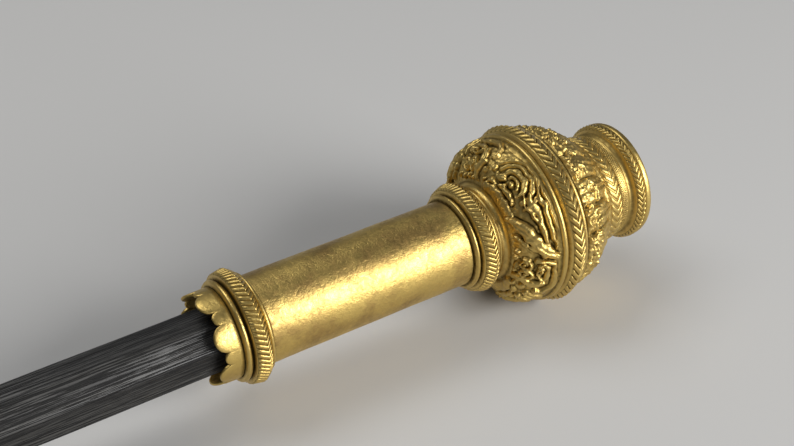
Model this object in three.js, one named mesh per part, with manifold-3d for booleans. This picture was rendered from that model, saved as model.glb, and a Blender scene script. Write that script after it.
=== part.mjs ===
// A sceptre: a turned and cast gilt-brass head on an ebonised wooden staff, lying on its side.
// Millimetres, +Z up, head towards +X. The origin is under the middle of the whole, on the surface
// that it lies on.
//
// Every piece is built round the staff's own axis, which is X in the group. A place along the axis is
// `s`, counted from the lower end of the grip tube towards the head. A place round the axis is `turn`,
// in degrees from the front generator, growing towards the top.
import * as THREE from 'three';
import { mergeVertices } from 'three/addons/utils/BufferGeometryUtils.js';
import Module from 'manifold-3d';

const wasm = await Module();
wasm.setup();

// Driving dimensions.
const jointGap = 0.3; // left between neighbouring pieces
const frontTilt = 51; // degrees from the top down to the front generator
const tubeRadius = 14;
const tubeLength = 70.9;
const staffAcrossFlats = 19.7;
const staffLowerEnd = -499;
const staffSag = 0.7; // the staff sits this low in its wide socket
const socketRadius = 11.8;
const socketFloor = 2.2; // below the tube's lower end
const skirtWall = 1.2;
const ferruleRadius = 12.6; // over its lowest bead
const beltRadius = 29.9;
const beltCrestS = 100.9;
const restFlat = 0.6; // depth of the small flats that stop it rolling

// Segments round a turned piece: plain, scalloped, foliage and chevron work.
const plainSides = 28;
const socketSides = 24;
const knobSides = 40;
const lowerFoliageSides = 80;
const upperFoliageSides = 72;
const chevrons = 64;
const neckChevrons = 42;

const gilt = { color: 0xb08a3c, roughness: 0.36, metalness: 1 };
const giltBrass = () => new THREE.MeshStandardMaterial(gilt);
const ebonised = new THREE.MeshStandardMaterial({ color: 0x17150f, roughness: 0.5, metalness: 0 });

// A ring of points round the axis. `at` gives [s, radius] for a turn and the point's number.
const ring = (count, at, twist = 0) => ({ count, at, twist });
const plain = (s, radius, count = plainSides) => ring(count, () => [s, radius]);

function axisPoint(s, radius, turn) {
  const angle = THREE.MathUtils.degToRad(frontTilt - turn);
  return [s, -radius * Math.sin(angle), radius * Math.cos(angle)];
}

// A closed solid through a row of rings, shut on the axis at startS and endS. Rings with the same
// count are joined point to point, so ridges run on. Others are zipped together by angle.
function turned(startS, rings, endS) {
  const positions = [startS, 0, 0];
  const triangles = [];
  const starts = [];
  for (const { count, at, twist } of rings) {
    starts.push(positions.length / 3);
    for (let i = 0; i < count; i++) {
      const turn = (i / count) * 360 + twist;
      positions.push(...axisPoint(...at(turn, i), turn));
    }
  }
  const endPoint = positions.length / 3;
  positions.push(endS, 0, 0);

  const fan = (pole, row, flip) => {
    const { count } = rings[row];
    for (let i = 0; i < count; i++) {
      const pair = [starts[row] + i, starts[row] + ((i + 1) % count)];
      triangles.push(pole, ...(flip ? pair.reverse() : pair));
    }
  };
  const zip = (row) => {
    const [near, far] = [rings[row].count, rings[row + 1].count];
    const nearPoint = (i) => starts[row] + (i % near);
    const farPoint = (j) => starts[row + 1] + (j % far);
    let [i, j] = [0, 0];
    while (i < near || j < far) {
      if (j >= far || (i < near && (i + 1) / near <= (j + 1) / far)) {
        triangles.push(nearPoint(i), farPoint(j), nearPoint(i + 1));
        i++;
      } else {
        triangles.push(nearPoint(i), farPoint(j), farPoint(j + 1));
        j++;
      }
    }
  };
  fan(0, 0, false);
  for (let row = 0; row + 1 < rings.length; row++) zip(row);
  fan(endPoint, rings.length - 1, true);

  const geometry = new THREE.BufferGeometry();
  geometry.setAttribute('position', new THREE.Float32BufferAttribute(positions, 3));
  geometry.setIndex(triangles);
  return facingOut(geometry);
}

// Turns every triangle over where the faces point inwards.
function facingOut(geometry) {
  const points = geometry.getAttribute('position');
  const index = geometry.getIndex().array;
  const [a, b, c] = [new THREE.Vector3(), new THREE.Vector3(), new THREE.Vector3()];
  let volume = 0;
  for (let t = 0; t < index.length; t += 3) {
    a.fromBufferAttribute(points, index[t]);
    b.fromBufferAttribute(points, index[t + 1]);
    c.fromBufferAttribute(points, index[t + 2]);
    volume += a.dot(b.cross(c));
  }
  if (volume < 0) {
    for (let t = 0; t < index.length; t += 3) {
      [index[t], index[t + 1]] = [index[t + 1], index[t]];
    }
  }
  return geometry;
}

// A band of carved V shapes that point down on the front. The ridges run from one edge to the other
// and are swung round by `swing` chevrons at the crest.
function chevronBand({ low, crest, high }, count, depth, swing = 1) {
  const row = ([s, radius], twist) =>
    ring(2 * count, (turn, i) => [s, radius + (i % 2 ? -depth : depth)], twist);
  return [row(low, 0), row(crest, (-swing * 360) / count), row(high, 0)];
}

// Cuts a solid with another, both closed meshes.
function subtract(geometry, cutter) {
  const toSolid = (source) => {
    const bare = source.clone();
    bare.deleteAttribute('normal');
    bare.deleteAttribute('uv');
    const merged = mergeVertices(bare, 1e-4);
    const vertProperties = new Float32Array(merged.getAttribute('position').array);
    const triVerts = new Uint32Array(merged.getIndex().array);
    return new wasm.Manifold(new wasm.Mesh({ numProp: 3, vertProperties, triVerts }));
  };
  const cut = toSolid(geometry).subtract(toSolid(cutter)).getMesh();
  const result = new THREE.BufferGeometry();
  result.setAttribute('position', new THREE.Float32BufferAttribute(cut.vertProperties, 3));
  result.setIndex([...cut.triVerts]);
  return result;
}

// Foliage. A motif is a list of strokes; a stroke is a rounded ridge, or a hollow where its height is
// negative, along a path of [turn, rise] places. `rise` is in mm up the wall of the bowl.
const stroke = (width, height, ...path) => ({ width, height, path });

function distanceToPath(x, y, path) {
  let nearest = Infinity;
  for (let k = 0; k < Math.max(1, path.length - 1); k++) {
    const [ax, ay] = path[k];
    const [bx, by] = path[Math.min(k + 1, path.length - 1)];
    const [dx, dy] = [bx - ax, by - ay];
    const along = THREE.MathUtils.clamp(
      ((x - ax) * dx + (y - ay) * dy) / (dx * dx + dy * dy || 1), 0, 1);
    nearest = Math.min(nearest, Math.hypot(x - ax - along * dx, y - ay - along * dy));
  }
  return nearest;
}

// The height of a set of strokes at a place: the highest ridge less the deepest hollow.
function reliefHeight(strokes, turn, rise, radius) {
  const perDegree = THREE.MathUtils.degToRad(radius);
  let [ridge, hollow] = [0, 0];
  for (const { width, height, path } of strokes) {
    const away = THREE.MathUtils.euclideanModulo(turn - path[0][0] + 180, 360) - 180;
    if (Math.abs(away) * perDegree > 30) continue;
    const local = path.map(([t, v]) => [(t - path[0][0]) * perDegree, v]);
    const near = 1 - (distanceToPath(away * perDegree, rise, local) / width) ** 2;
    if (near <= 0) continue;
    if (height > 0) ridge = Math.max(ridge, height * near);
    else hollow = Math.min(hollow, height * near);
  }
  return ridge + hollow;
}

// The four groups of leaves on the lower bowl, each round its own turn.
const archedRosette = (turn) => [
  stroke(3, 1.1, [turn, 8.5]),
  stroke(2, 1.2, [turn + 29, 5], [turn + 14, 11.5], [turn, 16], [turn - 13, 16], [turn - 24, 14]),
  stroke(2, 1, [turn + 17, 2], [turn + 13, 7]),
  stroke(2.2, -1, [turn + 9, 13.2], [turn - 9, 13]),
  stroke(1.8, 1, [turn - 11, 8], [turn - 20, 11.5]),
  stroke(2, -0.8, [turn - 13, 4], [turn - 21, 8]),
];
const diagonalLeaf = (turn) => [
  stroke(3, 1.4, [turn + 15, 2.5], [turn, 7.5], [turn - 16, 13.5]),
  stroke(2.2, -1.1, [turn + 7, 10.5], [turn - 6, 14]),
  stroke(2.2, -1.1, [turn + 3, 2], [turn - 11, 5.5]),
];
const curledSpray = (turn) => [
  stroke(2.4, 1.2, [turn + 5, 7]),
  stroke(1.9, 1.1, [turn + 16, 10], [turn + 4, 13], [turn - 10, 11], [turn - 14, 5]),
  stroke(2, -1, [turn + 13, 3], [turn - 4, 2.5]),
  stroke(2.2, -0.8, [turn - 17, 9]),
  stroke(2, 1, [turn + 10, 16.5], [turn - 6, 16.3]),
];
const berrySpray = (turn) => {
  const berries = [[9, 3.5], [-6, 4], [3, 8.5], [-12, 9], [13, 10.5], [-2, 13.5]];
  return [
    ...berries.map(([t, v]) => stroke(2.3, 1.3, [turn + t, v])),
    stroke(1.9, 1, [turn + 18, 15.8], [turn + 6, 17], [turn - 14, 15.5]),
  ];
};
const lowerFoliage = [
  [archedRosette, [25, 145, 265]],
  [diagonalLeaf, [-16, 104, 224]],
  [curledSpray, [-50, 70, 190]],
  [berrySpray, [-85, 86, 165]],
].flatMap(([motif, turns]) => turns.flatMap(motif));

// Eighteen upright petals with round tops, over a tangle of curled leaves and berries at the belt.
const petals = 18;
const upperFoliage = Array.from({ length: petals }, (_, k) => {
  const turn = (k * 360) / petals;
  return [
    stroke(4, 1.2, [turn, 8], [turn, 13]),
    stroke(2.8, k % 3 ? 1.3 : 0.9, [turn + 5, 2.7]),
    stroke(2.2, k % 3 === 1 ? 0.5 : -0.6, [turn - 5, 3.5]),
  ];
}).flat();

// Rings over a bowl, carved with foliage that fades out at both edges of its zone.
function foliageRings(profile, levels, sides, strokes) {
  const rises = [0];
  for (let k = 1; k < profile.length; k++) {
    const [[s0, r0], [s1, r1]] = [profile[k - 1], profile[k]];
    rises.push(rises[k - 1] + Math.hypot(s1 - s0, r1 - r0));
  }
  const total = rises.at(-1);
  return Array.from({ length: levels + 1 }, (_, level) => {
    const rise = (total * level) / levels;
    const k = Math.max(1, rises.findIndex((value) => value >= rise - 1e-9));
    const part = (rise - rises[k - 1]) / (rises[k] - rises[k - 1]);
    const [s, radius] = [0, 1].map((n) => THREE.MathUtils.lerp(profile[k - 1][n], profile[k][n], part));
    const [ds, dr] = [0, 1].map((n) => (profile[k][n] - profile[k - 1][n]) / (rises[k] - rises[k - 1]));
    const edge = Math.min(1, rise / 1.5, (total - rise) / 1.5);
    return ring(sides, (turn) => {
      const height = edge * reliefHeight(strokes, turn, rise, radius);
      return [s - dr * height, radius + ds * height];
    });
  });
}

// The staff: an octagon with softened arrises, from inside the ferrule to the floor of the socket.
function staff() {
  const arrisTurn = -21;
  const softening = 7; // degrees that each arris is flattened over
  const corner = staffAcrossFlats / 2 / Math.cos(Math.PI / 8);
  const cornerCount = 8;
  const section = [];
  for (let k = 0; k < cornerCount; k++) {
    const middle = arrisTurn + (k * 360) / cornerCount;
    for (const side of [-1, 1]) {
      const off = THREE.MathUtils.degToRad(softening / 2);
      const radius = staffAcrossFlats / 2 / Math.cos(Math.PI / 8 - off);
      section.push([middle + (side * softening) / 2, Math.min(radius, corner)]);
    }
  }
  const shape = new THREE.Shape(section.map(([turn, radius]) => {
    const [, y, z] = axisPoint(0, radius, turn);
    return new THREE.Vector2(y, z);
  }));
  const length = -socketFloor - jointGap - staffLowerEnd;
  const geometry = new THREE.ExtrudeGeometry(shape, { depth: length, bevelEnabled: false, steps: 1 });
  // Extruded along Z with Y and Z in its plane: swing the length onto X.
  geometry.applyMatrix4(new THREE.Matrix4().set(
    0, 0, 1, staffLowerEnd,
    1, 0, 0, 0,
    0, 1, 0, 0,
    0, 0, 0, 1));
  return geometry;
}

// The skirt of the lower collar ends in seven large lobes with a small one between each pair.
const lobePairs = 7;
const largeLobeTurn = -6.5;
const lobes = [
  { offset: 0, halfAngle: 120 / lobePairs, tipS: -17.4 },
  { offset: 180 / lobePairs, halfAngle: 60 / lobePairs, tipS: -15.4 },
];
const notchS = -13.8;
function skirtEdge(turn) {
  const pitch = 360 / lobePairs;
  for (const { offset, halfAngle, tipS } of lobes) {
    const away = THREE.MathUtils.euclideanModulo(turn - largeLobeTurn - offset + pitch / 2, pitch) - pitch / 2;
    if (Math.abs(away) <= halfAngle) {
      return notchS + (tipS - notchS) * Math.sqrt(1 - (away / halfAngle) ** 2);
    }
  }
  return notchS;
}

function lowerCollar() {
  const skirtSides = 10 * lobePairs;
  const skirtRadius = 14.4;
  return turned(-socketFloor, [
    plain(-socketFloor, socketRadius, socketSides),
    plain(-10.6, socketRadius, socketSides),
    plain(-10.9, skirtRadius - skirtWall, socketSides),
    ring(skirtSides, (turn) => [skirtEdge(turn), skirtRadius - skirtWall], largeLobeTurn),
    ring(skirtSides, (turn) => [skirtEdge(turn), skirtRadius - 0.3], largeLobeTurn),
    plain(-9.7, skirtRadius),
    plain(-9.4, 15.3),
    plain(-8.5, 16),
    plain(-7.8, 15.5),
    plain(-7.5, 14.7),
    plain(-7, 17),
    ...chevronBand({ low: [-6.8, 17.5], crest: [-3.5, 18], high: [-1.9, 16.8] }, chevrons, 0.3),
    plain(-1.35, 15.7),
    plain(-0.6, 15.9),
    plain(-jointGap / 2, 15.3),
  ], -jointGap / 2);
}

function gripTube() {
  const [low, high] = [jointGap / 2, tubeLength - jointGap / 2];
  return turned(low, [
    plain(low, tubeRadius - 0.15),
    plain(low + 0.15, tubeRadius),
    plain(high - 0.15, tubeRadius),
    plain(high, tubeRadius - 0.15),
  ], high);
}

function upperCollar() {
  const low = tubeLength + jointGap / 2;
  return turned(low, [
    plain(low, 14.5),
    plain(71.5, 15.4),
    plain(72.1, 15.65),
    plain(72.7, 14.8),
    plain(73.3, 16.8),
    ...chevronBand({ low: [73.6, 17.2], crest: [76.4, 18.2], high: [78, 17.8] }, chevrons, 0.3),
    plain(78.6, 16.9),
    plain(79.8, 16.5),
    plain(80, 15.8),
  ], 80);
}

const lowerBowlProfile = [
  [83.2, 16.6], [84, 20.3], [85.5, 23], [88, 25.5], [91, 26.6], [94, 27.2], [95, 27.4]];

function lowerBowl() {
  return turned(80 + jointGap, [
    plain(80 + jointGap, 15.3),
    plain(81.6, 15),
    plain(82.8, 15.4),
    ...foliageRings(lowerBowlProfile, 8, lowerFoliageSides, lowerFoliage),
    plain(95.6, 28, knobSides),
    plain(96.3, 28.5, knobSides),
    plain(97, 28, knobSides),
    plain(97.4, 27, knobSides),
  ], 97.4);
}

function beltRing() {
  return turned(97.4 + jointGap, [
    plain(97.4 + jointGap, 27, knobSides),
    plain(98.5, 28.3, knobSides),
    ...chevronBand({ low: [98.9, 29], crest: [beltCrestS, beltRadius], high: [103.3, 28.9] }, chevrons, 0.35),
    plain(103.6, 28.3, knobSides),
    plain(104.7, 28.4, knobSides),
    plain(105.6, 27, knobSides),
  ], 105.6);
}

const upperBowlProfile = [
  [105.9, 26.9], [108, 26.5], [111, 25.8], [113, 25], [115, 23.7], [117, 22.1], [119, 20.6], [122, 18.7]];

function upperBowl() {
  return turned(105.9, [
    ...foliageRings(upperBowlProfile, 7, upperFoliageSides, upperFoliage),
    ...chevronBand({ low: [122.4, 18.6], crest: [125, 18.4], high: [127.3, 18] }, neckChevrons, 0.2),
    plain(127.6, 17.7),
    plain(130.1, 17.6),
    plain(130.4, 17.1),
  ], 130.4);
}

function crownCap() {
  const low = 130.4 + jointGap;
  return turned(low, [
    plain(low, 17),
    plain(131.7, 17.2),
    plain(132.4, 18),
    ...chevronBand({ low: [132.8, 19.1], crest: [134, 19.8], high: [135.3, 20] }, chevrons, 0.25),
    plain(135.7, 19.5),
    plain(136.6, 19.8),
    plain(137.8, 19.3),
    plain(138.2, 17.6),
    plain(138.9, 10, 20),
  ], 139.2);
}

// A plain cup over the lower end, with a bead at its mouth and one round its foot.
const footBeadS = staffLowerEnd + 1.1;
function endFerrule() {
  const [bore, wall] = [11.1, 11.9];
  const floor = staffLowerEnd - jointGap;
  const mouth = staffLowerEnd + 42;
  return turned(floor, [
    plain(floor, bore, socketSides),
    plain(mouth, bore, socketSides),
    plain(mouth, wall, socketSides),
    plain(mouth - 1, 12.8, socketSides),
    plain(mouth - 3, 12.8, socketSides),
    plain(mouth - 4, wall, socketSides),
    plain(footBeadS + 2.1, wall, socketSides),
    plain(footBeadS + 1.3, ferruleRadius, socketSides),
    plain(footBeadS - 1.3, ferruleRadius, socketSides),
    plain(footBeadS - 2.6, 11, socketSides),
    plain(footBeadS - 3.1, 8, socketSides),
  ], footBeadS - 3.5);
}

// The whole lies on its belt and on the ferrule's foot, so its axis climbs towards the head. The staff
// and its ferrule hang a little low in the socket.
const slope = Math.atan((beltRadius - ferruleRadius - staffSag) / (beltCrestS - footBeadS));
const sceptre = new THREE.Group();
sceptre.rotation.y = -slope;
sceptre.position.z = beltRadius * Math.cos(slope) - beltCrestS * Math.sin(slope) - restFlat;
const loose = new THREE.Group();
loose.position.z = -staffSag;
sceptre.add(loose);
sceptre.updateMatrixWorld(true);

// Cuts away what is below the surface that the sceptre lies on.
function flattened(geometry, parent) {
  const ground = new THREE.BoxGeometry(1200, 100, 40);
  ground.translate(0, 0, -20);
  ground.applyMatrix4(parent.matrixWorld.clone().invert());
  return subtract(geometry, ground);
}

function addPiece(name, geometry, material, parent = sceptre) {
  const mesh = new THREE.Mesh(geometry, material);
  mesh.name = name;
  parent.add(mesh);
}

addPiece('shaft', staff(), ebonised, loose);
addPiece('end_ferrule', flattened(endFerrule(), loose), giltBrass(), loose);
addPiece('lower_collar', lowerCollar(), giltBrass());
addPiece('grip_tube', gripTube(), giltBrass());
addPiece('upper_collar', upperCollar(), giltBrass());
addPiece('knob_lower', lowerBowl(), giltBrass());
addPiece('knob_belt', flattened(beltRing(), sceptre), giltBrass());
addPiece('knob_upper', upperBowl(), giltBrass());
addPiece('crown_cap', crownCap(), giltBrass());

// The origin goes under the middle of the whole.
const middle = new THREE.Box3().setFromObject(sceptre, true).getCenter(new THREE.Vector3());
sceptre.position.x -= middle.x;
sceptre.position.y -= middle.y;

export default sceptre;
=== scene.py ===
# A ceremonial sceptre lying on its side: a black octagonal staff with a brass ferrule, and a gilt head
# made of two collars, a smooth grip tube, a carved knob in two halves with a belt, and a crown cap.
import math

import bpy
import numpy as np
from mathutils import Matrix, Vector


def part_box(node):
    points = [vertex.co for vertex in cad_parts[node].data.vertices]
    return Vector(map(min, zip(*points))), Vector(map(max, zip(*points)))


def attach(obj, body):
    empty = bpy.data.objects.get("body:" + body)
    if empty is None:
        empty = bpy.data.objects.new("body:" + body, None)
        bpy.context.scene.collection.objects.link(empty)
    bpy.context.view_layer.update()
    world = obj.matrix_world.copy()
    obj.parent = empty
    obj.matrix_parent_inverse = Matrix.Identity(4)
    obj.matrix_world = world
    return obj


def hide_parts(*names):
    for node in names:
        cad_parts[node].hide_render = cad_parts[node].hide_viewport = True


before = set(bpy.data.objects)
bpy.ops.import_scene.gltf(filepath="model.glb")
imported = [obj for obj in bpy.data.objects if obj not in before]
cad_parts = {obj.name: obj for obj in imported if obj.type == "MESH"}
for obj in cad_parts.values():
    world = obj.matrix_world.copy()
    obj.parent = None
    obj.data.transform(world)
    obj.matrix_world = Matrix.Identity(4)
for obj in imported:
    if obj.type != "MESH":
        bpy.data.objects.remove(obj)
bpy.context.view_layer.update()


# ---------------------------------------------------------------------------------------------------
# The axis. Every brass part is turned about one line, which climbs a little towards the head because
# the sceptre lies on its belt and on its foot. Places are given as s, in mm up that line from the
# grip tube's lower end, a radius in mm, and a turn in degrees up from the front.
# ---------------------------------------------------------------------------------------------------
TUBE_LENGTH = 70.9
FRONT_TILT = 51
belt_radius, belt_s = 29.9, 100.9
foot_radius, foot_s = 12.6, -497.9
STAFF_SAG = 0.7
slope = math.atan((belt_radius - foot_radius - STAFF_SAG) / (belt_s - foot_s))
tube_middle = sum(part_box("grip_tube"), Vector()) / 2
axis_to_world = (
    Matrix.Translation(tube_middle)
    @ Matrix.Rotation(-slope, 4, "Y")
    @ Matrix.Translation((-TUBE_LENGTH / 2000, 0, 0))
)


def about_axis(s, radius, turn):
    """Points in metres about a line that lies along X, as each piece is made before it is laid down."""
    angle = np.radians(FRONT_TILT - turn)
    return np.stack(np.broadcast_arrays(s, -radius * np.sin(angle), radius * np.cos(angle)), -1) / 1000


# ---------------------------------------------------------------------------------------------------
# The camera looks down on the head from the front left, close by, with the staff running out of view.
# ---------------------------------------------------------------------------------------------------
camera_azimuth, camera_elevation = math.radians(-32.3), math.radians(34.03)
back = Vector((
    math.sin(camera_azimuth) * math.cos(camera_elevation),
    -math.cos(camera_azimuth) * math.cos(camera_elevation),
    math.sin(camera_elevation),
))
right = Vector((math.cos(camera_azimuth), math.sin(camera_azimuth), 0))
up = back.cross(right)
tube_foot = axis_to_world.translation
camera = bpy.data.objects.new("camera", bpy.data.cameras.new("camera"))
camera.data.lens = 65.74
camera.location = tube_foot + 0.04328 * right + 0.02923 * up + 0.43238 * back
camera.rotation_euler = Matrix((right, up, back)).transposed().to_euler()
camera.data.clip_start = 0.01
bpy.context.collection.objects.link(camera)
bpy.context.scene.camera = camera


# ---------------------------------------------------------------------------------------------------
# Floor and light: a pale floor under wide soft lights. The main light is low in front, on the head's
# side, so that it draws a band along the tube; a weaker one hangs overhead.
# ---------------------------------------------------------------------------------------------------
floor_mesh = bpy.data.meshes.new("floor")
floor_mesh.from_pydata([(-3, -3, 0), (3, -3, 0), (3, 3, 0), (-3, 3, 0)], [], [(0, 1, 2, 3)])
floor = bpy.data.objects.new("floor", floor_mesh)
bpy.context.collection.objects.link(floor)
floor_material = bpy.data.materials.new("pale_floor")
floor_material.use_nodes = True
floor_shader = floor_material.node_tree.nodes["Principled BSDF"]
floor_shader.inputs["Base Color"].default_value = (0.62, 0.61, 0.59, 1)
floor_shader.inputs["Roughness"].default_value = 0.85
floor_mesh.materials.append(floor_material)

world = bpy.data.worlds.new("studio")
world.use_nodes = True
world.node_tree.nodes["Background"].inputs["Color"].default_value = (0.62, 0.66, 0.72, 1)
world.node_tree.nodes["Background"].inputs["Strength"].default_value = 0.16
bpy.context.scene.world = world
bpy.context.scene.view_settings.view_transform = "Standard"


def soft_light(name, direction, distance, size, power):
    data = bpy.data.lights.new(name, "AREA")
    data.shape, data.size, data.size_y = "RECTANGLE", *size
    data.energy = power
    light = bpy.data.objects.new(name, data)
    towards = Vector(direction).normalized()
    light.location = tube_middle + towards * distance
    light.rotation_euler = towards.to_track_quat("Z", "Y").to_euler()
    bpy.context.collection.objects.link(light)


soft_light("key", (0.5, -0.85, 0.42), 1.7, (1.1, 0.8), 34)
soft_light("overhead", (-0.3, 0.5, 1.0), 1.2, (0.9, 0.6), 5)


# ---------------------------------------------------------------------------------------------------
# The staff: one length of open-pored hardwood, planed to eight sides with eased arrises, stained
# black and waxed. It stands in the lower collar's socket and in the ferrule, and hangs a little low.
# ---------------------------------------------------------------------------------------------------
def skin(name, s, radius, turn, poles, recess=0.0):
    """A closed skin through a grid of rings, shut at both poles. The rings run up the axis."""
    s, radius, turn = np.broadcast_arrays(s, radius, turn)
    rows, columns = s.shape
    points = np.concatenate([
        about_axis(s, radius, turn).reshape(-1, 3),
        about_axis(np.array(poles, float), np.zeros(2), np.zeros(2)),
    ])
    near, far = rows * columns, rows * columns + 1
    column = np.arange(columns)
    after = (column + 1) % columns
    row = np.arange(rows - 1)[:, None] * columns
    quads = np.stack([row + column, row + columns + column, row + columns + after, row + after], -1)
    last = (rows - 1) * columns
    faces = quads.reshape(-1, 4).tolist()
    faces += [[near, int(i), int(j)] for i, j in zip(column, after)]
    faces += [[far, last + int(j), last + int(i)] for i, j in zip(column, after)]
    mesh = bpy.data.meshes.new(name)
    mesh.from_pydata(points.tolist(), [], faces)
    # The recess attribute darkens the finish: painted shade in the hollows, mixed with patina.
    depth = np.broadcast_to(recess, (rows, columns)).reshape(-1)
    attribute = mesh.attributes.new("recess", "FLOAT", "POINT")
    attribute.data.foreach_set("value", np.append(depth, (depth[0], depth[-1])).astype(np.float32))
    mesh.shade_smooth()
    piece = bpy.data.objects.new(name, mesh)
    bpy.context.collection.objects.link(piece)
    return piece


def lay(piece, node, sag=0):
    """Lays a finished piece down where it belongs and gives it its place in the frame."""
    piece.data.transform(Matrix.Translation((0, 0, -sag / 1000)) @ axis_to_world)
    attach(piece, "root")
    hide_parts(node)


staff_across = 19.7
staff_low, staff_high = -499, -2.5
arris_turn, arris_ease = -21, 8
staff_outline = []
for arris in arris_turn + np.arange(8) * 45:
    for off in np.linspace(-arris_ease / 2, arris_ease / 2, 5):
        flat_radius = staff_across / 2 / math.cos(math.radians(22.5 - abs(off)))
        staff_outline.append((arris + off, flat_radius - 0.2 * (1 - abs(off) * 2 / arris_ease) ** 1.5))
    for off in np.linspace(arris_ease / 2, 45 - arris_ease / 2, 9)[1:-1]:
        staff_outline.append((arris + off, staff_across / 2 / math.cos(math.radians(off - 22.5))))
staff_turns, staff_radii = np.array(staff_outline).T
staff_s = np.linspace(staff_low, staff_high, 160)[:, None]
plane_marks = 0.05 * np.sin(staff_s / 23 + staff_turns / 31) + 0.03 * np.sin(staff_s / 9.1 - staff_turns / 17)
staff = skin("staff", staff_s, staff_radii + plane_marks, staff_turns, (staff_low, staff_high))


def ebonised_wood():
    """Black wood whose long open pores cut through a thin grey wax sheen."""
    material = bpy.data.materials.new("ebonised_wood")
    material.use_nodes = True
    nodes, links = material.node_tree.nodes, material.node_tree.links
    shader = nodes["Principled BSDF"]
    place = nodes.new("ShaderNodeTexCoord")
    along = nodes.new("ShaderNodeMapping")
    along.inputs["Rotation"].default_value = (0, slope, 0)
    along.inputs["Scale"].default_value = (1, 1, 1)
    links.new(place.outputs["Object"], along.inputs["Vector"])

    def streaks(length, width, detail, name):
        stretch = nodes.new("ShaderNodeVectorMath")
        stretch.operation = "MULTIPLY"
        stretch.inputs[1].default_value = (1 / length, 1 / width, 1 / width)
        stretch.label = name
        noise = nodes.new("ShaderNodeTexNoise")
        noise.inputs["Scale"].default_value = 1
        noise.inputs["Detail"].default_value = detail
        noise.inputs["Roughness"].default_value = 0.6
        links.new(along.outputs["Vector"], stretch.inputs[0])
        links.new(stretch.outputs["Vector"], noise.inputs["Vector"])
        return noise.outputs["Fac"]

    def ramp(source, *stops):
        node = nodes.new("ShaderNodeValToRGB")
        elements = node.color_ramp.elements
        while len(elements) < len(stops):
            elements.new(0.5)
        for element, (position, colour) in zip(elements, stops):
            element.position = position
            element.color = (*colour, 1)
        links.new(source, node.inputs["Fac"])
        return node.outputs["Color"]

    pores = streaks(0.02, 0.0003, 3, "pores")
    bands = streaks(0.06, 0.0022, 2, "growth bands")
    open_pores = ramp(pores, (0.47, (0, 0, 0)), (0.53, (1, 1, 1)))
    worn = ramp(bands, (0.35, (0.012, 0.011, 0.010)), (0.65, (0.075, 0.072, 0.066)))
    colour = nodes.new("ShaderNodeMix")
    colour.data_type = "RGBA"
    colour.inputs["A"].default_value = (0.004, 0.0035, 0.003, 1)
    links.new(open_pores, colour.inputs["Factor"])
    links.new(worn, colour.inputs["B"])
    links.new(colour.outputs["Result"], shader.inputs["Base Color"])
    links.new(ramp(pores, (0.45, (0.8, 0.8, 0.8)), (0.56, (0.36, 0.36, 0.36))), shader.inputs["Roughness"])
    bump = nodes.new("ShaderNodeBump")
    bump.inputs["Strength"].default_value = 0.8
    bump.inputs["Distance"].default_value = 0.0002
    links.new(open_pores, bump.inputs["Height"])
    links.new(bump.outputs["Normal"], shader.inputs["Normal"])
    return material


staff.data.materials.append(ebonised_wood())
lay(staff, "shaft", STAFF_SAG)


# ---------------------------------------------------------------------------------------------------
# The ferrule: a plain brass cup spun over the staff's lower end, with a bead at its mouth and a thicker
# one round its foot, where it rests.
# ---------------------------------------------------------------------------------------------------
def arc(start, end, bulge, steps=9):
    """Places along a moulding between two (s, radius) points, swelling out by bulge mm."""
    (s0, r0), (s1, r1) = start, end
    length = math.hypot(s1 - s0, r1 - r0)
    along = (1 - np.cos(np.linspace(0, np.pi, steps))) / 2
    out = bulge * np.sqrt(np.clip(1 - (2 * along - 1) ** 2, 0, 1)) / length
    return [(s0 + (s1 - s0) * t - (r1 - r0) * b, r0 + (r1 - r0) * t + (s1 - s0) * b)
            for t, b in zip(along, out)]


def recess_along(profile, sunk=(), reach=0.9, depth=0.85):
    """How far each place of a profile lies below its surroundings, from 0 to 1; the finish darkens by it, as
    painted shade mixed with patina.
    """
    s, r = np.array(profile, float).T
    step = np.hypot(np.gradient(s), np.gradient(r)) + 0.02
    near = np.exp(-(((s[:, None] - s) / reach) ** 2)) * step
    recess = np.clip((near @ r / near.sum(1) - r) / depth, 0, 0.9)
    # The sunk bands under the chevrons get one fixed darkness: painted shade under the bars.
    for low, high in sunk:
        recess[(s > low) & (s < high)] = 0.65
    return recess


def turned(name, profile, poles, columns=168, sunk=()):
    s, r = np.array(profile, float).T[:, :, None]
    turns = np.arange(columns) * 360 / columns
    return skin(name, s, r, turns[None], poles, recess_along(profile, sunk)[:, None])


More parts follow.
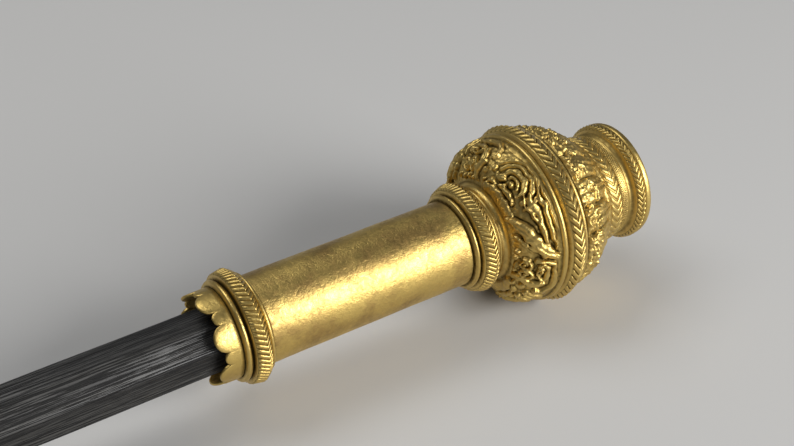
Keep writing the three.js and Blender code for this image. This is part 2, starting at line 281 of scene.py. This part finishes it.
def aged_gilding():
    """The look of old gilding, shared by the castings: worn gold, darkened in the recesses by painted shade
    mixed with dark patina.
    """
    group = bpy.data.node_groups.new("aged_gilding", "ShaderNodeTree")
    face = group.interface
    for name, kind, value in (
        ("Recess", "NodeSocketFloat", 0.0),
        ("Gold", "NodeSocketColor", (0.69, 0.495, 0.155, 1)),
        ("Rubbed", "NodeSocketColor", (0.44, 0.29, 0.1, 1)),
        # Dark brown for the recesses: painted shade and patina together.
        ("Patina", "NodeSocketColor", (0.075, 0.052, 0.014, 1)),
        ("Rub", "NodeSocketFloat", 0.3),
        ("Gloss", "NodeSocketFloat", 0.4),
        ("Grain", "NodeSocketFloat", 1.0),
    ):
        socket = face.new_socket(name, in_out="INPUT", socket_type=kind)
        socket.default_value = value
    for name, kind in (("Colour", "NodeSocketColor"), ("Roughness", "NodeSocketFloat"),
                       ("Height", "NodeSocketFloat")):
        face.new_socket(name, in_out="OUTPUT", socket_type=kind)
    nodes, links = group.nodes, group.links
    given, made = nodes.new("NodeGroupInput"), nodes.new("NodeGroupOutput")
    place = nodes.new("ShaderNodeTexCoord")

    def noise(scale, detail, rough=0.55, distortion=0.0):
        node = nodes.new("ShaderNodeTexNoise")
        for key, value in (("Scale", scale), ("Detail", detail), ("Roughness", rough),
                           ("Distortion", distortion)):
            node.inputs[key].default_value = value
        links.new(place.outputs["Object"], node.inputs["Vector"])
        return node.outputs["Fac"]

    def value(operation, a, b=0.0, clamp=False):
        node = nodes.new("ShaderNodeMath")
        node.operation, node.use_clamp = operation, clamp
        for socket, source in zip(node.inputs, (a, b)):
            if isinstance(source, (int, float)):
                socket.default_value = source
            else:
                links.new(source, socket)
        return node.outputs[0]

    def blended(factor, a, b):
        node = nodes.new("ShaderNodeMix")
        node.data_type = "RGBA"
        links.new(factor, node.inputs["Factor"])
        links.new(a, node.inputs["A"])
        links.new(b, node.inputs["B"])
        return node.outputs["Result"]

    blotches = noise(95, 3)
    mottle = noise(620, 4, 0.65, 0.6)
    pits = noise(2600, 2, 0.6)
    # Painted shade with patina: the recess mask, broken up by the mottle, blends the colour towards the dark
    # shade-and-patina brown.
    shade_and_patina = value("ADD", given.outputs["Recess"], value("MULTIPLY", value("SUBTRACT", mottle, 0.5), 0.55))
    shade_and_patina = value("MULTIPLY", value("SUBTRACT", shade_and_patina, 0.1), 1.4, clamp=True)
    worn = value("MULTIPLY", value("SUBTRACT", value("ADD", blotches, value("MULTIPLY", mottle, 0.5)), 0.66),
                 4, clamp=True)
    gold = blended(value("MULTIPLY", worn, given.outputs["Rub"]), given.outputs["Gold"],
                   given.outputs["Rubbed"])
    links.new(blended(shade_and_patina, gold, given.outputs["Patina"]), made.inputs["Colour"])
    rough = value("ADD", given.outputs["Gloss"], value("MULTIPLY", value("SUBTRACT", mottle, 0.5), 0.5))
    rough = value("ADD", rough, value("MULTIPLY", shade_and_patina, 0.3), clamp=True)
    links.new(rough, made.inputs["Roughness"])
    height = value("ADD", value("MULTIPLY", mottle, 1.0), value("MULTIPLY", pits, 0.35))
    links.new(value("MULTIPLY", height, given.outputs["Grain"]), made.inputs["Height"])
    return group


gilding = aged_gilding()


def gilt(name, bump=0.00012, **looks):
    """A gilt-brass finish for one piece, with its own gloss, wear and grain."""
    material = bpy.data.materials.new(name)
    material.use_nodes = True
    nodes, links = material.node_tree.nodes, material.node_tree.links
    shader = nodes["Principled BSDF"]
    shader.inputs["Metallic"].default_value = 1
    age = nodes.new("ShaderNodeGroup")
    age.node_tree = gilding
    for key, amount in looks.items():
        age.inputs[key].default_value = amount
    recess = nodes.new("ShaderNodeAttribute")
    recess.attribute_name = "recess"
    links.new(recess.outputs["Fac"], age.inputs["Recess"])
    links.new(age.outputs["Colour"], shader.inputs["Base Color"])
    links.new(age.outputs["Roughness"], shader.inputs["Roughness"])
    bumps = nodes.new("ShaderNodeBump")
    bumps.inputs["Distance"].default_value = bump
    links.new(age.outputs["Height"], bumps.inputs["Height"])
    links.new(bumps.outputs["Normal"], shader.inputs["Normal"])
    return material


ferrule_mouth = staff_low + 42
ferrule = turned("ferrule", [
    (staff_low - 0.3, 11.1), (ferrule_mouth, 11.1), (ferrule_mouth, 11.8),
    *arc((ferrule_mouth - 0.2, 11.9), (ferrule_mouth - 3.4, 11.9), -0.85),
    (ferrule_mouth - 3.6, 11.75), (ferrule_mouth - 4, 11.9), (foot_s + 2.3, 11.9), (foot_s + 2, 11.7),
    *arc((foot_s + 1.9, 11.9), (foot_s - 1.9, 11.9), -0.68), (foot_s - 2.4, 11.2), (foot_s - 3, 7.6),
][::-1], (foot_s - 3.3, staff_low - 0.3))
castings = gilt("cast_gilding")
ferrule.data.materials.append(gilt("spun_brass", bump=0.00004, Rub=0.5, Gloss=0.26))
lay(ferrule, "end_ferrule", STAFF_SAG)


# ---------------------------------------------------------------------------------------------------
# The lower collar: a casting with a scalloped skirt that hides the socket, a half-round, a deep groove
# and a swelling band of small chevrons, chased one by one, with a bead against the grip tube.
# ---------------------------------------------------------------------------------------------------
def chevron(name, band, count, width=0.84, height=0.42):
    """One V-shaped bar on a band's (low, crest, high) places, its foot sunk in the band."""
    low, crest, high = np.array(band, float)
    section = ((-1, -0.9), (-0.95, 0.1), (-0.7, 0.75), (-0.3, 1), (0.3, 1), (0.7, 0.75), (0.95, 0.1), (1, -0.9))
    stations = (-1, -0.97, -0.6, -0.25, -0.06, 0, 0.06, 0.25, 0.6, 0.97, 1)
    pitch = 360 / count
    places = []
    for v in stations:
        s, radius = crest + ((low if v < 0 else high) - crest) * abs(v)
        middle = -pitch * (1 - abs(v))
        for across, lift in section:
            lifted = height * (lift if abs(v) < 1 else -0.9)
            places.append(about_axis(s, radius - height + lifted, middle + across * width * pitch / 2))
    across = len(section)
    quads = [(i * across + j, (i + 1) * across + j, (i + 1) * across + j + 1, i * across + j + 1)
             for i in range(len(stations) - 1) for j in range(across - 1)]
    mesh = bpy.data.meshes.new(name)
    mesh.from_pydata([tuple(place) for place in places], [], quads)
    # The bar's sides and foot are given recess: painted shade where the bars meet the band and each other.
    foot = [0.75, 0.4, 0.05, 0, 0, 0.05, 0.4, 0.75] * len(stations)
    mesh.attributes.new("recess", "FLOAT", "POINT").data.foreach_set("value", foot)
    mesh.shade_smooth()
    bar = bpy.data.objects.new(name, mesh)
    bpy.context.collection.objects.link(bar)
    return bar


def ring_of_instances():
    """Sets a pattern round the axis, count times, and joins it to the piece it decorates."""
    tree = bpy.data.node_groups.new("ring_of_pattern", "GeometryNodeTree")
    face = tree.interface
    face.new_socket("Geometry", in_out="INPUT", socket_type="NodeSocketGeometry")
    for name, kind in (("Pattern", "NodeSocketObject"), ("Count", "NodeSocketInt"), ("Rows", "NodeSocketInt"),
                       ("Row Step", "NodeSocketFloat"), ("Finish", "NodeSocketMaterial")):
        face.new_socket(name, in_out="INPUT", socket_type=kind)
    face.new_socket("Geometry", in_out="OUTPUT", socket_type="NodeSocketGeometry")
    nodes, links = tree.nodes, tree.links
    given, made = nodes.new("NodeGroupInput"), nodes.new("NodeGroupOutput")

    def value(operation, a, b=0.0):
        node = nodes.new("ShaderNodeMath")
        node.operation = operation
        for socket, source in zip(node.inputs, (a, b)):
            if isinstance(source, (int, float)):
                socket.default_value = source
            else:
                links.new(source, socket)
        return node.outputs[0]

    index = nodes.new("GeometryNodeInputIndex").outputs[0]
    count = given.outputs["Count"]
    row = value("FLOOR", value("DIVIDE", value("ADD", index, 0.5), count))
    place = value("ADD", index, value("MULTIPLY", row, 0.5))
    angle = value("DIVIDE", value("MULTIPLY", place, 2 * math.pi), count)
    points = nodes.new("GeometryNodePoints")
    links.new(value("MULTIPLY", count, given.outputs["Rows"]), points.inputs["Count"])
    shift = nodes.new("ShaderNodeCombineXYZ")
    links.new(value("MULTIPLY", row, given.outputs["Row Step"]), shift.inputs["X"])
    links.new(shift.outputs[0], points.inputs["Position"])
    turn = nodes.new("ShaderNodeCombineXYZ")
    links.new(angle, turn.inputs["X"])
    pattern = nodes.new("GeometryNodeObjectInfo")
    links.new(given.outputs["Pattern"], pattern.inputs["Object"])
    spread = nodes.new("GeometryNodeInstanceOnPoints")
    links.new(points.outputs[0], spread.inputs["Points"])
    links.new(pattern.outputs["Geometry"], spread.inputs["Instance"])
    links.new(turn.outputs[0], spread.inputs["Rotation"])
    together = nodes.new("GeometryNodeJoinGeometry")
    links.new(spread.outputs[0], together.inputs[0])
    links.new(given.outputs["Geometry"], together.inputs[0])
    real = nodes.new("GeometryNodeRealizeInstances")
    links.new(together.outputs[0], real.inputs["Geometry"])
    finish = nodes.new("GeometryNodeSetMaterial")
    links.new(real.outputs[0], finish.inputs["Geometry"])
    links.new(given.outputs["Finish"], finish.inputs["Material"])
    links.new(finish.outputs[0], made.inputs["Geometry"])
    return tree


decorated_ring = ring_of_instances()


def decorate(piece, pattern, count, finish, rows=1, row_step=0.0):
    """Joins a ring of one pattern to a piece, as plain mesh."""
    modifier = piece.modifiers.new("ring", "NODES")
    modifier.node_group = decorated_ring
    settings = {"Pattern": pattern, "Count": count, "Rows": rows, "Row Step": row_step, "Finish": finish}
    for item in decorated_ring.interface.items_tree:
        if item.in_out == "INPUT" and item.name in settings:
            modifier[item.identifier] = settings[item.name]
    bpy.context.view_layer.update()
    evaluated = piece.evaluated_get(bpy.context.evaluated_depsgraph_get())
    joined = bpy.data.meshes.new_from_object(evaluated)
    piece.modifiers.clear()
    piece.data = joined
    bpy.data.objects.remove(pattern)


chevrons = 64
lobe_pairs, large_lobe_turn, notch_s = 7, -6.5, -13.8
lobe_tips = ((0, 120 / lobe_pairs, -17.4), (180 / lobe_pairs, 60 / lobe_pairs, -15.4))


def skirt_edge(turn):
    """Where the scalloped edge lies at each turn: large round lobes with a small one between."""
    edge = np.full_like(turn, notch_s)
    pitch = 360 / lobe_pairs
    for offset, half_angle, tip in lobe_tips:
        away = (turn - large_lobe_turn - offset + pitch / 2) % pitch - pitch / 2
        round_end = np.sqrt(np.clip(1 - (away / half_angle) ** 2, 0, 1))
        edge = np.minimum(edge, notch_s + (tip - notch_s) * round_end)
    return edge


skirt_radius, skirt_wall = 14.4, 1.2
collar_turns = large_lobe_turn + np.arange(63 * 2 * lobe_pairs // 2) * 360 / (63 * lobe_pairs)
edge = skirt_edge(collar_turns)
collar_rings = [(-2.2, 11.8), (-10.6, 11.8), (-10.9, skirt_radius - skirt_wall)]
collar_s = [np.full_like(edge, s) for s, _ in collar_rings]
collar_r = [np.full_like(edge, r) for _, r in collar_rings]
for inwards, back_off in ((1.0, 0.35), (0.92, 0.12), (0.6, 0.0), (0.3, 0.05), (0.1, 0.2), (0.0, 0.5)):
    collar_s.append(edge + back_off)
    collar_r.append(np.full_like(edge, skirt_radius - 0.15 - inwards * (skirt_wall - 0.15)))
for part in (0.25, 0.5, 0.75):
    collar_s.append(edge + (-9.9 - edge) * part + 0.5 * (1 - part))
    collar_r.append(np.full_like(edge, skirt_radius - 0.1 * (1 - part)))
collar_profile = [
    (-9.95, 14.4), (-9.8, 14.15), (-9.6, 14.2), (-9.5, 14.9), *arc((-9.45, 15.1), (-7.75, 15.2), 0.9),
    (-7.6, 14.7), (-7.35, 14.65), (-7.1, 15.2), (-7.05, 16.7), (-6.95, 17), (-6.8, 17.1), (-5.2, 17.4),
    (-3.5, 17.6), (-2.6, 17.1), (-1.9, 16.4), (-1.7, 16), (-1.6, 15.5), (-1.45, 15.3),
    *arc((-1.4, 15.35), (-0.3, 15.3), 0.5), (-0.2, 15), (-0.15, 14.6)]
for s, r in collar_profile:
    collar_s.append(np.full_like(edge, s))
    collar_r.append(np.full_like(edge, r))
# Painted shade: the socket's inside and the skirt's edge are given recess, so the finish darkens them there.
collar_recess = np.concatenate([(1, 1, 0.7, 0.25, 0.1, 0, 0, 0, 0), np.zeros(3),
                                recess_along(collar_profile, [(-6.85, -1.85)])])
lower_collar = skin("skirted_collar", np.array(collar_s), np.array(collar_r), collar_turns[None],
                    (-2.2, -0.15), collar_recess[:, None])
decorate(lower_collar, chevron("chevron", ((-6.8, 17.5), (-3.5, 18.1), (-1.85, 16.9)), chevrons),
         chevrons, castings)
lay(lower_collar, "lower_collar")


# ---------------------------------------------------------------------------------------------------
# The grip tube: plain drawn brass, gilt and burnished along its length and a little uneven under the hand.
# It is darker near both ends, where it runs under the collars: painted shade mixed with patina.
# ---------------------------------------------------------------------------------------------------
tube_radius = 14
tube_s = np.concatenate([[0.15, 0.18, 0.3], np.linspace(0.6, TUBE_LENGTH - 0.6, 90),
                         TUBE_LENGTH - np.array([0.3, 0.18, 0.15])])[:, None]
tube_turns = np.arange(180)[None] * 2.0
tube_edge = np.clip(np.minimum(tube_s - 0.15, TUBE_LENGTH - 0.15 - tube_s) / 0.15, 0, 1)
unevenness = (0.025 * np.sin(tube_s / 5.3 + np.radians(tube_turns) * 3)
              + 0.02 * np.sin(tube_s / 3.1 - np.radians(tube_turns) * 5))
# The recess given near both ends is painted shade, with some patina, where the tube runs under the collars.
tube = skin("gilt_tube", tube_s, tube_radius - 0.2 * (1 - tube_edge) + unevenness * tube_edge, tube_turns,
            (0.15, TUBE_LENGTH - 0.15),
            0.45 * np.exp(-((np.minimum(tube_s, TUBE_LENGTH - tube_s) / 0.7) ** 2)))
tube.data.materials.append(gilt("burnished_gilding", bump=0.00018, Rub=0.9, Gloss=0.44))
lay(tube, "grip_tube")


# ---------------------------------------------------------------------------------------------------
# The upper collar: a second casting, the lower one's match, with a thin bead, a deep groove and its own
# band of chevrons.
# ---------------------------------------------------------------------------------------------------
upper_collar = turned("head_collar", [
    (71.05, 14.5), (71.2, 14.9), *arc((71.35, 15), (72.6, 15), 0.66), (72.7, 14.7), (72.95, 14.65),
    (73.15, 15.2), (73.25, 16.4), (73.4, 16.7), (73.6, 16.8), (75, 17.5), (76.4, 17.8), (78, 17.4),
    (78.2, 16.7), (78.35, 16.2), *arc((78.5, 16.2), (79.3, 16), 0.35), (79.45, 15.5),
    *arc((79.5, 15.5), (80, 15.4), 0.15, 5)], (71.05, 80), 240, [(73.5, 78.1)])
decorate(upper_collar, chevron("chevron", ((73.6, 17.2), (76.4, 18.3), (78, 17.9)), chevrons),
         chevrons, castings)
lay(upper_collar, "upper_collar")


# ---------------------------------------------------------------------------------------------------
# The knob's lower half: a cast bowl chased all over with scrolls, curling leaves and bosses over a sunk
# ground, three times round, with a plain bead under the belt.
# ---------------------------------------------------------------------------------------------------
def smooth_line(places, steps=12):
    """A smooth line through a few places."""
    given = np.array(places, float)
    if len(given) == 1:
        return given
    given = np.concatenate([[2 * given[0] - given[1]], given, [2 * given[-1] - given[-2]]])
    a, b, c, d = given[:-3, None], given[1:-2, None], given[2:-1, None], given[3:, None]
    t = np.linspace(0, 1, steps, endpoint=False)[:, None]
    line = b + ((c - a) * t + (2 * a - 5 * b + 4 * c - d) * t**2 + (3 * b - a - 3 * c + d) * t**3) / 2
    return np.concatenate([line.reshape(-1, given.shape[1]), given[-2:-1]])


def blurred(field, reach):
    """Each place's mean over its surroundings; the field runs on from its last column to its first."""
    reach = int(reach)
    weights = np.exp(-(np.linspace(-1.8, 1.8, 2 * reach + 1) ** 2))
    weights /= weights.sum()
    wide = np.pad(field, ((reach, reach), (0, 0)), "edge")
    field = sum(w * wide[i:i + len(field)] for i, w in enumerate(weights))
    return sum(w * np.roll(field, i - reach, 1) for i, w in enumerate(weights))


class Relief:
    """Chased work on a bowl's wall, laid on form by form. A place is a turn in degrees and a rise in mm
    up the wall; heights are in mm. The work repeats every `sector` degrees."""

    def __init__(self, profile, rows, columns, sector):
        s, r = np.array(profile, float).T
        rise = np.append(0, np.cumsum(np.hypot(np.diff(s), np.diff(r))))
        fine = np.linspace(0, rise[-1], 400)
        weights = np.exp(-(np.linspace(-2, 2, 61) ** 2))
        s, r = (np.convolve(np.pad(np.interp(fine, rise, line), 30, "reflect", reflect_type="odd"),
                            weights / weights.sum(), "valid") for line in (s, r))
        self.rise = np.linspace(0, rise[-1], rows)[:, None]
        self.s, self.r = (np.interp(self.rise, fine, line) for line in (s, r))
        lean = np.arctan2(np.gradient(self.r[:, 0]), np.gradient(self.s[:, 0]))[:, None]
        self.outwards = -np.sin(lean), np.cos(lean)
        self.columns, self.sector = columns, sector
        self.turn = np.arange(columns * sector // 360)[None] * 360 / columns
        self.per_degree = math.radians(float(self.r.mean()))
        self.height = np.zeros((rows, self.turn.size))
        self.wander = [0.3 * self.unevenness(seed, 12) for seed in (3, 4)]

    def unevenness(self, seed, reach):
        """The small irregularity of hand work, of unit strength and about `reach` cells across."""
        field = blurred(np.random.default_rng(seed).normal(size=self.height.shape), reach)
        return field / field.std()

    def across(self, turn):
        return ((self.turn - turn + self.sector / 2) % self.sector - self.sector / 2) * self.per_degree

    def lay(self, places, width, height, sink=0.2, thin=0.35, veins=0.0):
        """A rounded form along a line, thinner towards its ends, with a sunk line round it."""
        line = smooth_line(places)
        nearest, along = np.full(self.height.shape, np.inf), np.zeros(self.height.shape)
        for step, (turn, rise) in enumerate(line):
            away = np.hypot(self.across(turn) + self.wander[0], self.rise - rise + self.wander[1])
            along = np.where(away < nearest, step / max(1, len(line) - 1), along)
            nearest = np.minimum(away, nearest)
        half = width * (1 - thin * np.abs(2 * along - 1) ** 2) if len(line) > 1 else width
        part = nearest / half
        form = height * np.sqrt(np.clip(1 - part**2, 0, 1))
        form -= veins * np.exp(-((part / 0.2) ** 2)) * height
        form *= 1 - 0.14 * veins * (1 + np.cos(along * 44 + part * 3))
        sunk = self.height - sink * np.exp(-(((nearest - half) / 0.35) ** 2))
        self.height = np.where(part < 1, np.maximum(self.height * 0.3, 0) + form, sunk)

    def around(self, centre, radius, start, end, width, height, shrink=1.0, **more):
        """A form that bends round a centre. Angles grow from the front's lower side up the wall."""
        angles = np.radians(np.linspace(start, end, 7))
        radii = radius * np.linspace(1, shrink, 7)
        self.lay(np.stack([centre[0] - radii * np.cos(angles) / self.per_degree,
                           centre[1] + radii * np.sin(angles)], 1), width, height, **more)

    def piece(self, name, before, after, poles, edge=(1.2, 1.2)):
        """The bowl with its work, between plain rings, as one closed piece."""
        top = float(self.rise[-1, 0])
        fade = np.clip(np.minimum(self.rise / edge[0], (top - self.rise) / edge[1]), 0, 1)
        worked = blurred(self.height, 2) + 0.08 * self.unevenness(5, 6) + 0.02 * self.unevenness(6, 3)
        height = np.tile(worked * fade, 360 // self.sector)
        # Painted shade: the recess comes from how far each place lies below its blurred surroundings, and grows
        # where the work fades into the plain rings.
        recess = np.clip((blurred(height, 7) - height) * 1.1 + (blurred(height, 22) - height) * 0.55, 0, 0.9)
        recess = np.maximum(recess, 0.6 * (1 - fade))
        s, r = self.s + self.outwards[0] * height, self.r + self.outwards[1] * height
        plain = [np.array(rings, float).reshape(-1, 2) for rings in (before, after)]
        rings = [[np.repeat(part[:, i:i + 1], self.columns, 1) for i in (0, 1)] for part in plain]
        # A plain ring given alone is painted fully dark, as shade where the bowl meets the next piece.
        dark = [np.repeat(recess_along(part)[:, None], self.columns, 1) if len(part) > 1
                else np.ones((1, self.columns)) for part in plain]
        return skin(name, np.concatenate([rings[0][0], s, rings[1][0]]),
                    np.concatenate([rings[0][1], r, rings[1][1]]),
                    np.arange(self.columns)[None] * 360 / self.columns, poles,
                    np.concatenate([dark[0], recess, dark[1]]))


lower = Relief([(83.2, 16.6), (84, 20.3), (85.5, 23), (88, 25.5), (91, 26.6), (94, 27.2), (95, 27.4)],
               90, 900, 120)
lower.height -= 0.45
# A plain folded field, then the hood of arches over a boss.
lower.lay([(43, 1.5), (30, 2.6), (12, 2.2), (4, 2.2)], 2.4, 0.7, thin=0.1)
lower.lay([(32, 5.9), (22, 6.3), (12, 5.8)], 0.9, 0.6, sink=0.7)
for radius, width, height in ((8.3, 0.6, 0.5), (6.5, 0.9, 0.5), (4.2, 1.0, 0.8), (2.2, 0.6, 0.4)):
    lower.around((25, 9), radius, -5, 175, width, height, sink=0.12, thin=0.5)
lower.lay([(25, 9)], 1.1, 1.0)
lower.lay([(35, 8.3)], 1.4, 0.9)
lower.lay([(29, 6.8)], 0.8, 0.6)
lower.lay([(44, 4), (41, 5.4), (37, 5)], 0.8, 0.7)
# Flame-like locks that stream from the arches.
for rise, spread, width in ((10.4, 12, 0.7), (12.2, 34, 1.15), (14.9, 38, 1.0), (16.9, 30, 0.8)):
    lower.lay([(13, rise + 0.3), (7, rise - 0.4), (0, rise + 0.4), (-spread * 0.35, rise + 0.2),
               (-spread * 0.75, rise + 1.4)], width, 0.95, thin=0.6)
# The long diagonal leaf, with a vein and turned-over lobes along its lower side.
lower.lay([(2, 2.2), (-9, 6.2), (-19, 9.3), (-29, 12.6), (-34, 16)], 2.1, 1.5, sink=0.7, thin=0.5, veins=0.3)
for step in range(4):
    lower.lay([(-15 - 5 * step, 3.4 + 2.3 * step), (-19 - 4.6 * step, 4.8 + 2.3 * step)], 0.85, 0.8, thin=0.2)
# Curls and bosses round the end of the leaf.
for turn, rise, radius in ((-41, 5.8, 2.2), (-51, 6, 2.0), (-47, 11.2, 2.5)):
    lower.around((turn, rise), radius, 200, -70, 0.65, 0.9, shrink=0.8)
    lower.around((turn, rise), radius * 0.75, -60, -250, 0.5, 0.8, shrink=0.55)
    lower.lay([(turn, rise)], 0.6, 0.9)
lower.lay([(-36, 9.5), (-40, 14.2), (-50, 15.8), (-62, 15.6), (-68, 13), (-67, 10.5)], 1.0, 1.1, thin=0.4)
lower.lay([(-56, 12.6), (-60, 9), (-58, 5), (-60, 2)], 1.1, 1.0, veins=0.3)
for turn, rise, radius in ((-66, 6.5, 1.2), (-70, 3.6, 1.0), (-46, 2.4, 1.0), (-38, 2, 0.9), (-53, 2, 0.9), (-30, 3, 0.9),
                           (-74, 9, 1.1)):
    lower.lay([(turn, rise)], radius, 0.8)
knob_lower = lower.piece("lower_bowl", [(80.3, 15.3), (81, 15.1), (81.6, 15), (82.4, 15.2), (82.9, 15.7)],
                         [(95.3, 27.4), *arc((95.45, 27.7), (97.15, 27.7), 0.8), (97.3, 27.4), (97.4, 27)],
                         (80.3, 97.4))
knob_lower.data.materials.append(castings)
lay(knob_lower, "knob_lower")


# ---------------------------------------------------------------------------------------------------
# The belt: a separate ring that covers the joint of the knob's halves, with large chevrons between two
# fillets. Its lowest place is rubbed flat where the knob rests.
# ---------------------------------------------------------------------------------------------------
belt = turned("belt", [
    (97.7, 27), (98, 27.3), (98.5, 28.3), (98.75, 28.55), (98.9, 28.65), (99.8, 29.1), (belt_s, 29.5),
    (102.1, 29.1), (103.3, 28.55), (103.5, 28.1), (103.65, 28), *arc((103.7, 28.2), (104.8, 28), 0.35),
    (105.2, 27.4), (105.6, 27)], (97.7, 105.6), 240, [(98.8, 103.4)])
decorate(belt, chevron("chevron", ((98.9, 29.1), (belt_s, belt_radius + 0.25), (103.3, 29.1)), chevrons),
         chevrons, castings)


def rub_flat(piece, level=0.00005):
    """Presses what would reach below the surface it lies on back up to it."""
    for vertex in piece.data.vertices:
        vertex.co.z = max(vertex.co.z, level)


lay(belt, "knob_belt")
rub_flat(belt)
rub_flat(ferrule)


# ---------------------------------------------------------------------------------------------------
# The knob's upper half: upright petals with round tops stand over a tangle of small curled leaves. Above
# them come a smooth hollow, a band of chevrons and a neck pricked all over.
# ---------------------------------------------------------------------------------------------------
upper = Relief([(105.9, 26.9), (108, 26.5), (111, 25.8), (113, 25), (115, 23.7), (117, 22.1), (119, 20.6),
                (122, 18.7)], 96, 840, 120)
petals = 18
petal_pitch = 360 / petals
petal_top = 16.2
half_width = petal_pitch / 2 * np.radians(upper.r)
rounding = np.sqrt(np.clip(1 - (np.clip(upper.rise - petal_top + 3, 0, 9) / 3) ** 2, 0, 1))
for turn in np.arange(0, 120, petal_pitch):
    away = upper.across(turn) / upper.per_degree * np.radians(upper.r)
    part = np.abs(away) / (half_width * np.maximum(rounding, 1e-3))
    form = 1.35 * np.sqrt(np.clip(1 - part**2.4, 0, 1)) - 0.22 * np.exp(-((away / 0.5) ** 2))
    form -= 0.1 * np.cos(away * 3.1) * (part < 1)
    upper.height = np.where(part < 1, np.maximum(upper.height, form), upper.height)
upper.height -= 0.6 * (upper.rise < petal_top + 0.4)
chance = np.random.default_rng(11)
for column in range(12):
    for row, rise in enumerate((1.9, 5.3)):
        turn = column * 10 + row * 5 + chance.uniform(-2, 2)
        centre = (turn, rise + chance.uniform(-0.5, 0.5))
        start = chance.uniform(0, 360)
        if (column + row) % 3:
            size = chance.uniform(1.3, 1.9)
            upper.around(centre, size, start, start + 230, 0.75, 1.0, shrink=0.6, sink=0.12)
            upper.lay([centre], 0.55, 1.2)
        else:
            upper.around(centre, 2.2, start, start + 120, 1.0, 1.3, veins=0.4)
        if column % 2 == row:
            upper.lay([(turn + 5, rise + 1.2)], chance.uniform(0.6, 0.9), 1.2)
neck = [(122.2, 18.4), (122.4, 18.3), (125, 18.1), (127.3, 17.7), (127.5, 17.4), (128.5, 17.35), (129.6, 17.35),
        (130, 17.3), (130.1, 17.5), (130.3, 17.3), (130.4, 17)]
knob_upper = upper.piece("upper_bowl", [(105.9, 26.4)], neck, (105.9, 130.4), edge=(0.8, 0.6))
neck_chevrons = 42
decorate(knob_upper, chevron("chevron", ((122.4, 18.5), (125, 18.5), (127.3, 18)), neck_chevrons, height=0.34),
         neck_chevrons, castings)


def prick(s, radius, size):
    """A tiny round-topped pimple between the pricks of a stippled ground."""
    around = np.arange(6) * 60
    turns = np.degrees(size * np.cos(np.radians(around)) / radius)
    rim = about_axis(s + size * np.sin(np.radians(around)), radius - 0.05, turns)
    waist = about_axis(s + 0.6 * size * np.sin(np.radians(around)), radius + 0.14, turns * 0.6)
    top = about_axis(s, radius + 0.2, 0.0)
    faces = [(i, (i + 1) % 6, 6 + (i + 1) % 6, 6 + i) for i in range(6)]
    faces += [(6 + i, 6 + (i + 1) % 6, 12) for i in range(6)]
    mesh = bpy.data.meshes.new("prick")
    mesh.from_pydata([tuple(place) for place in (*rim, *waist, top)], [], faces)
    # The rim is given recess and the top none: painted shade round the foot of each pimple.
    mesh.attributes.new("recess", "FLOAT", "POINT").data.foreach_set("value", [0.8] * 6 + [0.2] * 6 + [0.0])
    mesh.shade_smooth()
    pimple = bpy.data.objects.new("prick", mesh)
    bpy.context.collection.objects.link(pimple)
    return pimple


decorate(knob_upper, prick(127.85, 17.4, 0.26), 150, castings, rows=4, row_step=0.00055)
lay(knob_upper, "knob_upper")


# ---------------------------------------------------------------------------------------------------
# The crown cap: a turned and cast cap with a smooth hollow neck, a band of chevrons and a wide rounded
# rim. Its top is plain.
# ---------------------------------------------------------------------------------------------------
crown = turned("crown", [
    (130.7, 17), (131.1, 17), (131.7, 17.15), (132.1, 17.5), (132.45, 18.1), (132.6, 18.6), (132.8, 18.8),
    (133.4, 19.2), (134, 19.5), (134.7, 19.65), (135.3, 19.7), (135.5, 19.35), (135.7, 19.2),
    *arc((135.8, 19.4), (138, 19.1), 0.5), (138.3, 18.6), (138.45, 17.8), (138.3, 17), (138.5, 15),
    (138.8, 10), (138.95, 5)], (130.7, 139.05), 240, [(132.7, 135.4)])
decorate(crown, chevron("chevron", ((132.8, 19.1), (134, 19.8), (135.3, 20)), chevrons),
         chevrons, castings)
lay(crown, "crown_cap")
